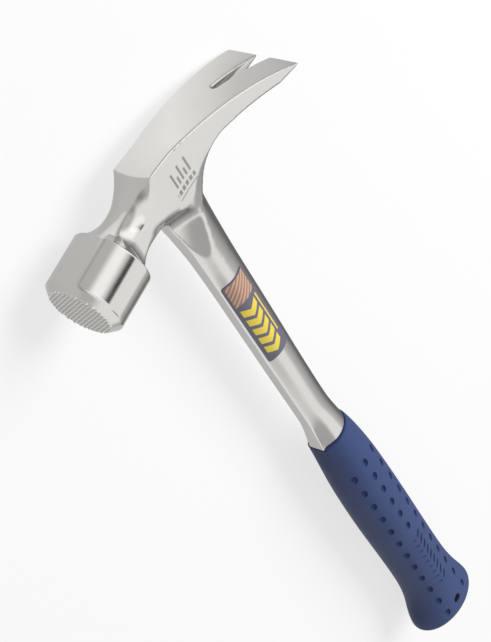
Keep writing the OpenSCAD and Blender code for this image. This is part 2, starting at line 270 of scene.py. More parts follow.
class Finishes(PropertyGroup):
    """Colours of the finishes, in linear values."""

    steel: colour("Steel", "Polished forged steel", 0.70, 0.685, 0.66)
    vinyl: colour("Vinyl", "Moulded vinyl of the grip", 0.034, 0.061, 0.176)
    sheen: colour("Sheen", "Sheen of the vinyl at its edges", 0.75, 0.68, 0.78)
    label_ground: colour("Label ground", "Slate ground of the label", 0.13, 0.125, 0.18)
    label_yellow: colour("Label yellow", "Yellow print", 0.93, 0.72, 0.06)
    label_copper: colour("Label copper", "Copper print", 0.38, 0.19, 0.13)
    label_sand: colour("Label sand", "Sand-coloured print", 0.66, 0.43, 0.31)


# Rows of share along the shank, then front, back, thickness and front flat as shares of ShankSizes
SHANK_ROWS = (
    (0.02, 1.32, 1.34, 1.42, 1.60),
    (0.10, 1.24, 1.30, 1.43, 1.50),
    (0.14, 1.11, 1.24, 1.35, 1.35),
    (0.21, 1.01, 1.20, 1.19, 1.10),
    (0.31, 0.97, 1.16, 1.035, 1.00),
    (0.52, 0.99, 1.10, 0.98, 0.98),
    (0.75, 1.00, 1.00, 1.00, 1.00),
    (0.88, 1.00, 0.98, 1.01, 1.00),
    (0.92, 1.03, 1.00, 1.06, 1.06),
    (0.96, 1.14, 1.07, 1.16, 1.35),
    (1.00, 1.24, 1.15, 1.28, 1.70),
)
# Places on both sides of the forging that are blended soft: x, y and z from the crossing, and a radius
BLEND_SPOTS = (
    (-6.0, 8.5, 8.8, 6.0),
    (-6.0, 18.5, 8.0, 8.0),
    (-10.0, 12.5, 6.0, 7.0),
    (-17.0, -0.5, 8.5, 6.0),
    (-24.0, -2.0, 8.0, 7.0),
    (-33.0, -1.0, 7.5, 9.0),
    (-44.0, 1.0, 6.5, 9.0),
)
# Rows of share along the grip, then front, back and thickness as shares of GripSizes
GRIP_ROWS = (
    (0.000, 0.81, 0.69, 0.72),
    (0.035, 0.84, 0.76, 0.79),
    (0.100, 0.89, 0.85, 0.87),
    (0.180, 0.955, 0.92, 0.94),
    (0.290, 1.00, 0.965, 0.98),
    (0.430, 1.01, 0.995, 1.00),
    (0.570, 0.98, 1.01, 1.00),
    (0.720, 0.975, 1.035, 0.99),
    (0.800, 1.03, 1.07, 1.01),
    (0.855, 1.14, 1.13, 1.05),
    (0.905, 1.32, 1.22, 1.10),
    (0.945, 1.43, 1.31, 1.13),
    (1.000, 1.44, 1.38, 1.17),
)


def smooth_row(rows, share):
    """Values between the rows of a table at a share, along smooth curves through the rows."""
    last = len(rows) - 2
    i = next((i for i in range(last) if share <= rows[i + 1][0]), last)

    def rise(j, column):
        low, high = rows[max(j - 1, 0)], rows[min(j + 1, len(rows) - 1)]
        return (high[column] - low[column]) / (high[0] - low[0])

    gap = rows[i + 1][0] - rows[i][0]
    u = min(max((share - rows[i][0]) / gap, 0.0), 1.0)
    values = []
    for column in range(1, len(rows[0])):
        start, end = rows[i][column], rows[i + 1][column]
        leave, arrive = rise(i, column) * gap, rise(i + 1, column) * gap
        values.append(
            start
            + u * leave
            + u * u * (3 * (end - start) - 2 * leave - arrive)
            + u**3 * (2 * (start - end) + leave + arrive)
        )
    return values


def crossing():
    """Where the poll's axis crosses the handle's axis."""
    head = bpy.context.scene.hammer_head
    return Vector(
        (
            STEEL_HIGH.x - head.poll_diameter / 2,
            STEEL_HIGH.y - head.face_reach,
            (STEEL_LOW.z + STEEL_HIGH.z) / 2,
        )
    )


def spot(x, y, z=0.0):
    """Place of a point that is measured from the crossing of the two axes."""
    return crossing() + Vector((x, y, z))


def take(piece):
    """Makes a piece the only selected object and the active one."""
    bpy.ops.object.select_all(action="DESELECT")
    piece.select_set(True)
    bpy.context.view_layer.objects.active = piece


def start(name, add, scale=(1, 1, 1), **settings):
    """Starts a piece with an operator that adds a primitive, and puts its place into its mesh."""
    bpy.ops.object.select_all(action="DESELECT")
    add(**settings)
    piece = bpy.context.object
    piece.name = name
    piece.scale = scale
    settle(piece)
    return piece


def pick(chosen=None):
    """Selects only the chosen vertices of the mesh in edit mode, or all of it."""
    bpy.ops.mesh.select_all(action="SELECT" if chosen is None else "DESELECT")
    for v in chosen or ():
        v.select_set(True)


def edit(piece):
    """Opens a piece in edit mode with nothing selected."""
    take(piece)
    bpy.ops.object.mode_set(mode="EDIT")
    pick(())


def edit_sharp(piece, degrees):
    """Opens a piece in edit mode with the edges selected that are sharper than an angle."""
    edit(piece)
    bpy.ops.mesh.select_mode(type="EDGE")
    bpy.ops.mesh.edges_select_sharp(sharpness=math.radians(degrees))


def close_edit():
    """Merges doubles, turns the faces outwards and leaves edit mode."""
    pick()
    bpy.ops.mesh.remove_doubles(threshold=MERGE_GAP)
    bpy.ops.mesh.normals_make_consistent(inside=False)
    bpy.ops.object.mode_set(mode="OBJECT")


def settle(piece):
    """Puts a piece's place, turn and scale into its mesh."""
    take(piece)
    bpy.ops.object.transform_apply(location=True, rotation=True, scale=True)


def draw_outline(name, points):
    """Draws a line from point to point, starting from a plane merged to the first one."""
    piece = start(name, bpy.ops.mesh.primitive_plane_add, size=MM, location=points[0])
    bpy.ops.object.mode_set(mode="EDIT")
    pick()
    bpy.ops.mesh.merge(type="CENTER")
    for here, there in zip(points, points[1:]):
        bpy.ops.mesh.extrude_vertices_move(TRANSFORM_OT_translate={"value": there - here})
    return piece


def plate(name, outline, depth):
    """Flat outline thickened along depth."""
    piece = draw_outline(name, outline)
    pick()
    bpy.ops.mesh.edge_face_add()
    bpy.ops.mesh.extrude_region_move(TRANSFORM_OT_translate={"value": depth})
    close_edit()
    return piece


def turning(name, outline, centre=None, axis=Vector((0, 1, 0)), steps=TURN_STEPS):
    """Outline of radius and reach, turned about the poll's axis or another one."""
    centre = centre or crossing()
    out = Vector((0, 0, 1)).cross(axis) if abs(axis.z) < 0.5 else Vector((1, 0, 0))
    out = (out - axis * out.dot(axis)).normalized()
    piece = draw_outline(name, [centre + out * radius + axis * reach for radius, reach in outline])
    pick()
    bpy.ops.mesh.spin(steps=steps, angle=math.tau, center=centre, axis=axis)
    close_edit()
    return piece


def trim(piece, place, normal):
    """Cuts off what lies beyond a plane and closes the cut."""
    edit(piece)
    pick()
    bpy.ops.mesh.bisect(plane_co=place, plane_no=normal, use_fill=True, clear_outer=True)
    close_edit()


def run_modifier(piece, kind, **settings):
    """Adds a modifier to a piece with these settings and applies it."""
    take(piece)
    modifier = piece.modifiers.new(kind.lower(), kind)
    for key, value in settings.items():
        setattr(modifier, key, value)
    bpy.ops.object.modifier_apply(modifier=modifier.name)


def work(piece, tool, operation, keep=False):
    """Cuts or trims a piece with a tool piece, which is used up unless it is kept."""
    run_modifier(piece, "BOOLEAN", object=tool, operation=operation, solver="EXACT")
    if not keep:
        bpy.data.objects.remove(tool)
    if not piece.data.polygons:
        raise RuntimeError(f"{piece.name}: nothing is left after {operation.lower()}")


def join(piece, *others):
    """Joins other pieces into a piece."""
    take(piece)
    for other in others:
        other.select_set(True)
    bpy.ops.object.join()


def skin(piece, grain, soften):
    """Skins a worked piece with an even mesh and softens its edges."""
    run_modifier(piece, "REMESH", mode="VOXEL", voxel_size=grain)
    run_modifier(piece, "SMOOTH", factor=0.5, iterations=soften)


def blend_spots(piece, rounds):
    """Smooths a skinned piece further at the spots where forged surfaces run into each other."""
    group = piece.vertex_groups.new(name="blend")
    middle = crossing()
    for v in piece.data.vertices:
        place = (v.co - middle) / MM
        place.z = abs(place.z)
        if place.x > BLEND_SPOTS[-1][0] - BLEND_SPOTS[-1][3]:
            weight = max(
                (radius - (place - Vector((x, y, z))).length) / (BLEND_FALL * radius)
                for x, y, z, radius in BLEND_SPOTS
            )
            if weight > 0.0:
                group.add((v.index,), min(weight, 1.0), "REPLACE")
    run_modifier(piece, "SMOOTH", factor=0.5, iterations=rounds, vertex_group=group.name)


def arc(centre, radius, start, end, steps=ARC_STEPS):
    """Points of an arc between two angles, about a centre."""
    angles = [start + (end - start) * i / steps for i in range(steps + 1)]
    return [centre + radius * Vector((math.cos(a), math.sin(a))) for a in angles]


def size_ring(piece, count, centre, front, back, half, flat, tilt):
    """Sizes the last ring of a drawn-out bar: its front, back, thickness, front flat and tilt."""
    mesh = bmesh.from_edit_mesh(piece.data)
    mesh.verts.ensure_lookup_table()
    ring = mesh.verts[-count:]
    reach = max(v.co.y for v in ring) - centre.y
    groups = (
        ([v for v in ring if v.co.y > centre.y + MERGE_GAP], (front, front, 1)),
        ([v for v in ring if v.co.y < centre.y - MERGE_GAP], (back, back, 1)),
        (ring, (1, 1, half)),
        ([v for v in ring if v.co.y > centre.y + FRONT_MOST * reach], (1, 1, flat / half)),
    )
    for members, ratio in groups:
        pick(members)
        bpy.ops.transform.resize(value=ratio, center_override=centre)
    pick(ring)
    mesh.select_flush(True)
    if tilt:
        bpy.ops.transform.rotate(value=tilt, orient_axis="Z", center_override=centre)


def draw_out(name, count, rings, shape=None):
    """Round bar drawn out ring by ring. A ring is its x, front, back, half thickness, flat and tilt."""
    first = rings[0]
    piece = start(
        name,
        bpy.ops.mesh.primitive_circle_add,
        vertices=count,
        radius=1.0,
        fill_type="NGON",
        location=spot(first[0], 0),
        rotation=(0, math.pi / 2, 0),
    )
    bpy.ops.object.mode_set(mode="EDIT")
    if shape:
        shape(piece)
    before = (first[0], 1.0, 1.0, 1.0, 1.0, 0.0)
    for ring in rings:
        if ring is not first:
            step = (ring[0] - before[0], 0, 0)
            bpy.ops.mesh.extrude_region_move(TRANSFORM_OT_translate={"value": step})
        ratios = [now / then for now, then in zip(ring[1:5], before[1:5])]
        size_ring(piece, count, spot(ring[0], 0), *ratios, ring[5] - before[5])
        before = ring
    close_edit()
    return piece


def round_off(piece, degrees):
    """Subdivides a piece into smooth curves, apart from the edges that are sharper than an angle."""
    edit_sharp(piece, degrees)
    bpy.ops.transform.edge_crease(value=1.0)
    bpy.ops.mesh.select_mode(type="VERT")
    bpy.ops.object.mode_set(mode="OBJECT")
    run_modifier(piece, "SUBSURF", levels=2, render_levels=2)


class TopLine:
    """Top line of the head: an arc from the front of the cheek to the claw tips, as (y, x)."""

    def __init__(self, head):
        self.start = Vector((head.cheek_front, head.cheek_top))
        self.slope = head.top_slope
        chord = Vector((head.claw_reach + head.cheek_front, head.claw_drop + head.cheek_top))
        turn = math.atan2(chord.y, chord.x) - self.slope
        self.radius = chord.length / (2 * math.sin(turn))
        self.length = 2 * turn * self.radius

    def point(self, s, depth=0.0):
        """Point at a length along the line and a depth square to it."""
        angle = self.slope + s / self.radius
        fall = (math.sin(self.slope) - math.sin(angle), math.cos(angle) - math.cos(self.slope))
        inwards = Vector((math.sin(angle), -math.cos(angle)))
        return self.start + self.radius * Vector(fall) + depth * inwards


class RearFillet:
    """Underside of the claws and the fillet from there to the back of the cheek, as (y, x)."""

    def __init__(self, head, shank):
        top = TopLine(head)
        heel = top.length - head.tip_bevel
        root = ROOT_SHARE * top.length
        self.under = []
        for i in range(ARC_STEPS + 1):
            share = 1 - i / ARC_STEPS
            depth = head.claw_root + (head.claw_heel - head.claw_root) * share
            self.under.append(top.point(root + (heel - root) * share, depth))
        end = self.under[-1]
        run = end - self.under[-2]
        self.turn = math.atan2(run.y, run.x)
        self.radius = (-end.x - BACK_ROOM * shank.back) / (1 + math.sin(self.turn))
        self.centre = end + self.radius * Vector((math.sin(self.turn), -math.cos(self.turn)))


def side_outline(head, shank):
    """Outline of the cheek and claws seen from the side, as (y, x)."""
    top = TopLine(head)
    rear = RearFillet(head, shank)
    fillet = arc(rear.centre, rear.radius, math.pi / 2 + rear.turn, head.edge_turn)
    foot = fillet[-1].x + (fillet[-1].y + head.cheek_foot) * math.tan(head.edge_turn)
    return (
        [top.point(top.length * i / ARC_STEPS) for i in range(ARC_STEPS + 1)]
        + [top.point(top.length, head.claw_edge)]
        + rear.under
        + fillet[1:]
        + [Vector((foot, -head.cheek_foot))]
        + [Vector((y * head.cheek_front, -x * head.cheek_foot)) for y, x in CHEEK_CORNERS]
    )


def band_tool(head, shank, side):
    """Flat cone about the rear fillet that lowers a band along the cheek's rear edge."""
    rear = RearFillet(head, shank)
    half, tip = head.cheek_thickness / 2, head.claw_width / 2
    flare = math.atan((tip - half) / (head.claw_reach - head.flare_start))
    centre = rear.centre + head.band_gain * Vector((1, -1))
    out = half + (-centre.x - head.flare_start) * math.tan(flare)
    radius = rear.radius + head.band_gain
    return turning(
        "band_tool",
        [(0.0, -radius * math.tan(head.band_fall)), (radius, 0.0), (radius, tip), (0.0, tip)],
        spot(centre.y, centre.x, side * out),
        Vector((0, math.sin(flare), side * math.cos(flare))),
        FINE_STEPS,
    )


def soften_edges(piece, head):
    """Rounds the sharp edges of the head's top and claws, less towards the thin claw tips."""
    top = TopLine(head)
    centre = top.point(0.0, top.radius)
    edit_sharp(piece, FORGED_EDGE)
    mesh = bmesh.from_edit_mesh(piece.data)
    weight = mesh.edges.layers.float.new("bevel_weight_edge")
    tip = spot(0, -head.claw_reach).y
    for edge in mesh.edges:
        middle = (edge.verts[0].co + edge.verts[1].co) / 2
        place = middle - crossing()
        on_top = (Vector((place.y, place.x)) - centre).length > top.radius - head.edge_soft
        if edge.select and (on_top or place.y < -0.5 * head.claw_reach):
            room = (middle.y - tip) / head.tip_bevel
            edge[weight] = min(1.0, TIP_SOFT + (1 - TIP_SOFT) * max(0.0, room))
    bpy.ops.mesh.select_mode(type="VERT")
    bpy.ops.object.mode_set(mode="OBJECT")
    run_modifier(
        piece,
        "BEVEL",
        limit_method="WEIGHT",
        width=head.edge_soft,
        segments=3,
        use_clamp_overlap=False,
    )


def forge_block(head, shank):
    """Cheek and claws: a thick plate cut to both outlines, slotted and banded."""
    wide = head.claw_width / 2 + MM
    outline = [spot(x, y, -wide) for y, x in side_outline(head, shank)]
    block = plate("head_block", outline, (0, 0, 2 * wide))
    work(block, plan_tool(head), "INTERSECT")
    work(block, slot_tool(head), "DIFFERENCE")
    for side in SIDES:
        work(block, band_tool(head, shank, side), "DIFFERENCE")
    return block


def poll_rear(head):
    """Reach from the handle axis to the rear of the poll."""
    return head.face_reach - head.face_bevel - head.poll_length


def forge_neck(head):
    """Waisted neck, turned and then trimmed by the plane of the head's top."""
    waist = head.neck_diameter / 2
    rear = poll_rear(head)
    corner = math.hypot(head.cheek_top, head.cheek_thickness / 2)

    def flare(run, rise):
        radius = (run * run + rise * rise) / (2 * rise)
        return radius, math.asin(run / radius)

    waist_front = head.neck_reach - head.neck_waist
    front_radius, front_turn = flare(waist_front - head.cheek_front, corner - waist)
    rear_rise = head.poll_diameter / 2 - NECK_STEP - waist
    rear_radius, rear_turn = flare(rear - head.neck_reach, rear_rise)
    front_centre = Vector((waist + front_radius, waist_front))
    rear_centre = Vector((waist + rear_radius, head.neck_reach))
    outline = (
        [(0.0, head.cheek_front - MM), (corner, head.cheek_front - MM)]
        + arc(front_centre, front_radius, math.pi + front_turn, math.pi)
        + arc(rear_centre, rear_radius, math.pi, math.pi - rear_turn)
        + [(waist + rear_rise, rear + 2 * MM), (0.0, rear + 2 * MM)]
    )
    neck = turning("neck", outline)
    slope_out = (math.cos(head.top_slope), -math.sin(head.top_slope), 0)
    trim(neck, spot(head.cheek_top, head.cheek_front), slope_out)
    work(neck, plan_tool(head), "INTERSECT")
    return neck


def through_head(name, head, outline):
    """Tool with an outline of y and z that reaches through the whole height of the head."""
    low = -head.poll_diameter - head.claw_drop
    return plate(name, [spot(low, y, z) for y, z in outline], (-2 * low, 0, 0))


def plan_tool(head):
    """Outline seen along the handle: flared claws, flat cheeks and flats that run out at the poll."""
    half = head.cheek_thickness / 2
    tip = head.claw_width / 2
    rear = poll_rear(head)
    runout = head.poll_diameter / 2 - half
    gain = (tip - half) / (head.claw_reach - head.flare_start)
    near = (
        [Vector((-head.claw_reach - MM, tip + gain * MM)), Vector((-head.flare_start, half))]
        + arc(Vector((rear - runout, half + runout)), runout, -math.pi / 2, 0.0)
        + [Vector((rear + 3 * MM, half + runout))]
    )
    far = [Vector((y, -z)) for y, z in reversed(near)]
    return through_head("plan_tool", head, near + far)


def slot_tool(head):
    """Wedge with a round end that cuts the nail slot."""
    mouth, end = head.slot_mouth / 2, head.slot_end / 2
    top = head.slot_length - end - head.claw_reach
    outline = (
        [Vector((-head.claw_reach - MM, mouth))]
        + arc(Vector((top, 0.0)), end, math.pi / 2, -math.pi / 2)
        + [Vector((-head.claw_reach - MM, -mouth))]
    )
    return through_head("slot_tool", head, outline)


def shape_shank_ring(piece):
    """Makes the first round ring a section with a flat front edge and straight front sides."""
    pairs = SHANK_SIDES // 4
    centre = spot(SHANK_ROWS[0][0] * -bpy.context.scene.hammer_shank.reach, 0)
    mesh = bmesh.from_edit_mesh(piece.data)
    for i in range(1, pairs):
        angle = math.tau * i / SHANK_SIDES
        front = 1 - ((i - 1) / (pairs - 1)) ** SIDE_CURVE
        half = FLAT_SHARE + (1 - FLAT_SHARE) * math.cos(math.pi / 2 * front)
        pick([v for v in mesh.verts if abs((v.co - centre).y - math.cos(angle)) < 1e-4])
        ratio = (1, front / math.cos(angle), half / math.sin(angle))
        bpy.ops.transform.resize(value=ratio, center_override=centre)
    pick()


def shank_section(shank, share, room=0.0):
    """Front, back, half thickness, flat and tilt of the shank at a share of its length."""
    front, back, half, flat = smooth_row(SHANK_ROWS, share)
    return (
        front * shank.front + room,
        back * shank.back + room,
        half * shank.thickness / 2 + room,
        flat * shank.front_flat / 2 / FLAT_SHARE,
        0.0,
    )


def forge_shank(shank):
    """Shank drawn out from the head to just inside the grip's rim."""
    first = SHANK_ROWS[0][0]
    shares = [first + (1 - first) * i / BAR_STEPS for i in range(BAR_STEPS + 1)]
    rings = [(-share * shank.reach, *shank_section(shank, share)) for share in shares]
    rings.append((rings[-1][0] - RIM_OVERLAP, *rings[-1][1:]))
    piece = draw_out("shank", SHANK_SIDES, rings, shape_shank_ring)
    round_off(piece, SHANK_EDGE)
    return piece


def scoop_tool(head, shank, side):
    """Round-ended bar that scoops one side below the cheek and runs out under the neck."""
    lean, sink = shank.scoop_lean, shank.scoop_sink
    flat = math.cos(sink)
    axis = Vector((-flat * math.cos(lean), flat * math.sin(lean), -side * math.sin(sink)))
    radius, end = shank.scoop_radius, shank.scoop_round
    outline = (
        [(0.0, 0.0)]
        + [tuple(p) for p in arc(Vector((radius - end, end)), end, -math.pi / 2, 0.0)]
        + [(radius, radius), (0.0, radius)]
    )
    centre = spot(-shank.scoop_drop, shank.scoop_front, side * shank.scoop_out)
    tool = turning("scoop_tool", outline, centre, axis, FINE_STEPS)
    runout = (0, math.sin(shank.scoop_runout), -side * math.cos(shank.scoop_runout))
    trim(tool, spot(0, shank.scoop_end, side * head.cheek_thickness / 2), runout)
    return tool


def comb_tool(head, across):
    """Comb of parallel grooves over the striking face, running along X or along Z."""
    land = head.mill_land
    wide = (head.mill_pitch - land) / 2
    lift = land / 4
    edge = wide * (1 + lift / head.mill_depth)
    count = math.ceil(head.poll_diameter / 2 / head.mill_pitch)
    line = []
    for i in range(-count, count):
        middle = (i + 0.5) * head.mill_pitch
        line += [(middle - edge, lift), (middle, -head.mill_depth), (middle + edge, lift)]
    line += [(line[-1][0], 2 * MM), (line[0][0], 2 * MM)]
    long = head.poll_diameter
    if across == "X":
        outline = [spot(-long, head.face_reach + y, place) for place, y in line]
        return plate("comb_tool", outline, (2 * long, 0, 0))
    outline = [spot(place, head.face_reach + y, -long) for place, y in line]
    return plate("comb_tool", outline, (0, 0, 2 * long))


def turn_poll(head):
    """Poll with rounded edges and a milled striking face."""
    radius = head.poll_diameter / 2
    face, bevel = head.face_reach, head.face_bevel
    bevel_start = face - bevel
    rear = poll_rear(head)
    near = 2 * head.edge_round
    outline = [
        (0.0, rear),
        (radius - near, rear),
        (radius, rear),
        (radius, rear + near),
        (radius, bevel_start - near),
        (radius, bevel_start),
        (radius - near, bevel_start + near),
        (radius - bevel + near, face - near),
        (radius - bevel, face),
        (0.0, face),
    ]
    poll = turning("poll", outline)
    edit_sharp(poll, TURNED_EDGE)
    bpy.ops.mesh.bevel(offset=head.edge_round, segments=4, profile=0.5)
    bpy.ops.mesh.select_mode(type="VERT")
    close_edit()
    for across in ("X", "Z"):
        work(poll, comb_tool(head, across), "DIFFERENCE")
    return poll


def forge_tang(shank, spare=0.0):
    """Flat tang with round edges, from inside the shank to its end in the grip, or its space."""
    tang = start(
        "tang",
        bpy.ops.mesh.primitive_cube_add,
        Vector((shank.tang_length, shank.tang_depth, shank.tang_thickness))
        + Vector((2 * spare, 2 * spare, 2 * spare)),
        size=1.0,
        location=spot(-shank.reach - shank.tang_length / 2, 0),
    )
    edit(tang)
    for edge in bmesh.from_edit_mesh(tang.data).edges:
        along = edge.verts[0].co - edge.verts[1].co
        edge.select_set(abs(along.x) > shank.tang_length / 2)
    bpy.ops.mesh.bevel(offset=TANG_ROUND * shank.tang_thickness, segments=6)
    close_edit()
    return tang


class HAMMER_OT_forging(Operator):
    """Forge the head, neck, claws, shank and tang as one piece of steel"""

    bl_idname = "hammer.forging"
    bl_label = "Forge the steel"

    def execute(self, context):
        head, shank = context.scene.hammer_head, context.scene.hammer_shank
        parts = [forge_block(head, shank), forge_neck(head), forge_shank(shank)]
        for side in SIDES:
            scoop = scoop_tool(head, shank, side)
            for part in parts:
                work(part, scoop, "DIFFERENCE", keep=True)
            bpy.data.objects.remove(scoop)
        forging = parts[0]
        soften_edges(forging, head)
        join(*parts)
        skin(forging, shank.forge_grain, shank.forge_soften)
        blend_spots(forging, shank.blend_soften)
        run_modifier(forging, "DECIMATE", ratio=FORGE_THINNING)
        join(forging, turn_poll(head), forge_tang(shank))
        bpy.ops.object.shade_smooth_by_angle(angle=math.radians(35))
        forging.name = "forging"
        dress(forging, steel_finish(context.scene.hammer_finishes, head))
        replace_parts(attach(forging, "root"), "forged_body")
        return {"FINISHED"}


def butt_share(grip, reach):
    """Share of the full section that is left at a reach from the rim, in the rounded butt."""
    u = max(0.0, reach - grip.reach + grip.butt_round) / grip.butt_round
    return max(BUTT_LEAST, max(0.0, 1 - u**BUTT_CURVE) ** (1 / BUTT_CURVE))


def mould_body(grip, shank):
    """Closed body of the grip, drawn out from its rim to the rounded butt."""
    straight = grip.reach - grip.butt_round
    reaches = [straight * j / BAR_STEPS for j in range(BAR_STEPS + 1)]
    for j in range(1, BUTT_STEPS + 1):
        reaches.append(straight + grip.butt_round * math.sin(math.pi / 2 * j / BUTT_STEPS))
    rings = []
    for reach in reaches:
        share = reach / grip.reach
        front, back, half = smooth_row(GRIP_ROWS, share)
        left = butt_share(grip, reach)
        tilt = math.atan(math.tan(grip.butt_slope) * share**4)
        stretch = left / math.cos(tilt)
        thick = half * grip.thickness / 2 * left
        sides = (front * grip.front * stretch, back * grip.back * stretch)
        rings.append((-shank.reach - reach, *sides, thick, thick, tilt))
    body = draw_out("vinyl_grip", GRIP_SIDES, rings)
    flatten_rim(body, shank, rings)
    round_off(body, GRIP_EDGE)
    return body


def flatten_rim(body, shank, rings):
    """Lets the grip's first rings start from the flat front edge of the shank."""
    flat = (smooth_row(SHANK_ROWS, 1.0)[0] + 0.02) * shank.front
    edit(body)
    mesh = bmesh.from_edit_mesh(body.data)
    for ring, keep in zip(rings, RIM_KEEPS):
        centre = spot(ring[0], flat)
        front = [v for v in mesh.verts if v.co.y - crossing().y > 0.82 * ring[1]]
        pick([v for v in front if abs(v.co.x - centre.x) < 0.5 * MM])
        bpy.ops.transform.resize(value=(1, keep, 1.05 - 0.05 * keep), center_override=centre)
    close_edit()


def press(body, places, size):
    """Presses a dent into both sides of the grip at each place: x, y and turn."""
    model = start(
        "press_tool",
        bpy.ops.mesh.primitive_uv_sphere_add,
        size,
        segments=24,
        ring_count=16,
        radius=1.0,
        location=(0, 0, 0),
    )
    tools = []
    for x, y, turn in places:
        for side in SIDES:
            above = spot(x, y, side * 50 * MM)
            found, place, normal, _ = body.ray_cast(above, Vector((0, 0, -side)))
            if not found:
                raise RuntimeError(f"{body.name}: no surface for a dent at {x:.4f}, {y:.4f}")
            along = Vector((math.cos(turn), math.sin(turn), 0))
            along = (along - normal * along.dot(normal)).normalized()
            tool = model.copy()
            tool.data = model.data.copy()
            bpy.context.collection.objects.link(tool)
            turned = Matrix((along, normal.cross(along), normal)).transposed().to_4x4()
            tool.matrix_world = Matrix.Translation(place) @ turned
            tools.append(tool)
    bpy.data.objects.remove(model)
    join(*tools)
    settle(tools[0])
    work(body, tools[0], "DIFFERENCE")


def dent_places(grip, shank):
    """Two long outer rows of dents and a short middle row."""
    first = -shank.reach - grip.dent_start
    places = []
    for i in range(OUTER_DENTS):
        x = first - i * grip.dent_pitch
        places += [(x, grip.dent_spread, 0.0), (x, -grip.dent_spread, 0.0)]
    for i in range(MIDDLE_DENTS):
        places.append((first + 3 * MM - i * 0.97 * grip.dent_pitch, 0.0, 0.0))
    return places


def chevron_places(grip, shank):
    """Row of chevrons, each of two slanting strokes."""
    places = []
    for i in range(CHEVRONS):
        x = -shank.reach - grip.chevron_start - i * grip.chevron_pitch
        places += [(x, side * STROKE_OUT, side * STROKE_SLANT) for side in SIDES]
    return places


def hang_tool(grip, shank):
    """Pin that cuts the hang hole through the butt, with a lead-in at both ends."""
    bore, deep = grip.hang_diameter / 2, LEAD_SHARE * grip.thickness
    mouth = bore + LEAD_IN
    outline = [(0.0, -2 * deep), (mouth, -2 * deep), (mouth, -deep - LEAD_IN), (bore, -deep)]
    outline += [(radius, -along) for radius, along in reversed(outline)]
    centre = spot(-shank.reach - grip.reach + grip.hang_from_butt, 0)
    return turning("hang_tool", outline, centre, Vector((0, 0, 1)), 64)


def socket_tool(shank):
    """Socket in the grip's rim that takes the end of the shank."""
    section = shank_section(shank, 1.0, SOCKET_ROOM)
    ends = (SHANK_ROWS[0][0] * -shank.reach, -shank.reach - SOCKET_DEPTH)
    tool = draw_out("socket", SHANK_SIDES, [(x, *section) for x in ends], shape_shank_ring)
    round_off(tool, SHANK_EDGE)
    return tool


class HAMMER_OT_grip(Operator):
    """Mould the grip with its rows of dents, its chevrons and its hang hole"""

    bl_idname = "hammer.grip"
    bl_label = "Mould the grip"

    def execute(self, context):
        grip, shank = context.scene.hammer_grip, context.scene.hammer_shank
        dent = (grip.dent_length / 2, grip.dent_width / 2, grip.dent_depth)
        body = mould_body(grip, shank)
        skin(body, grip.mould_grain, grip.mould_soften)
        press(body, chevron_places(grip, shank), CHEVRON_STROKE)
        work(body, hang_tool(grip, shank), "DIFFERENCE")
        press(body, dent_places(grip, shank), dent)
        work(body, socket_tool(shank), "DIFFERENCE")
        work(body, forge_tang(shank, TANG_ROOM), "DIFFERENCE")
        take(body)
        bpy.ops.object.shade_smooth_by_angle(angle=math.radians(50))
        dress(body, vinyl_finish(context.scene.hammer_finishes, grip, shank))
        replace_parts(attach(body, "root"), "grip")
        return {"FINISHED"}


def label_outline(label):
    """Outline of the label with round corners, about its middle."""
    inner = Vector((label.reach / 2 - label.corner, label.width / 2 - label.corner))
    outline = []
    for turn, ahead, aside in ((0.0, 1, 1), (0.5, -1, 1), (1.0, -1, -1), (1.5, 1, -1)):
        corner = Vector((ahead * inner.x, aside * inner.y))
        outline += arc(corner, label.corner, turn * math.pi, (turn + 0.5) * math.pi, 8)
    return outline


class HAMMER_OT_label(Operator):
    """Lay the printed label on the side of the shank"""

    bl_idname = "hammer.label"
    bl_label = "Lay the label"

    def execute(self, context):
        label, shank = context.scene.hammer_label, context.scene.hammer_shank
        forging = bpy.data.objects.get("forging")
        if forging is None:
            raise RuntimeError("the label needs the forging to lie on")
        x, y = -label.drop - label.reach / 2, label.front - label.width / 2
        film = start(
            "shank_label",
            bpy.ops.mesh.primitive_grid_add,
            (label.reach + 2 * MM, label.width + 2 * MM, 1),
            x_subdivisions=116,
            y_subdivisions=30,
            size=1.0,
            location=spot(x, y, shank.thickness),
        )
        run_modifier(
            film,
            "SHRINKWRAP",
            target=forging,
            wrap_method="PROJECT",
            use_project_z=True,
            use_positive_direction=False,
            use_negative_direction=True,
        )
        run_modifier(film, "SOLIDIFY", thickness=label.thickness, offset=1.0)
        outline = [spot(x + ahead, y + aside) for ahead, aside in label_outline(label)]
        cutter = plate("label_cutter", outline, (0, 0, 2 * shank.thickness))
        work(film, cutter, "INTERSECT")
        edit(film)
        close_edit()
        bpy.ops.object.shade_smooth_by_angle(angle=math.radians(40))
        dress(film, label_finish(context.scene.hammer_finishes, label))
        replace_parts(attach(film, "root"), "label")
        return {"FINISHED"}


def dress(piece, material):
    """Gives a piece one material."""
    piece.data.materials.clear()
    piece.data.materials.append(material)


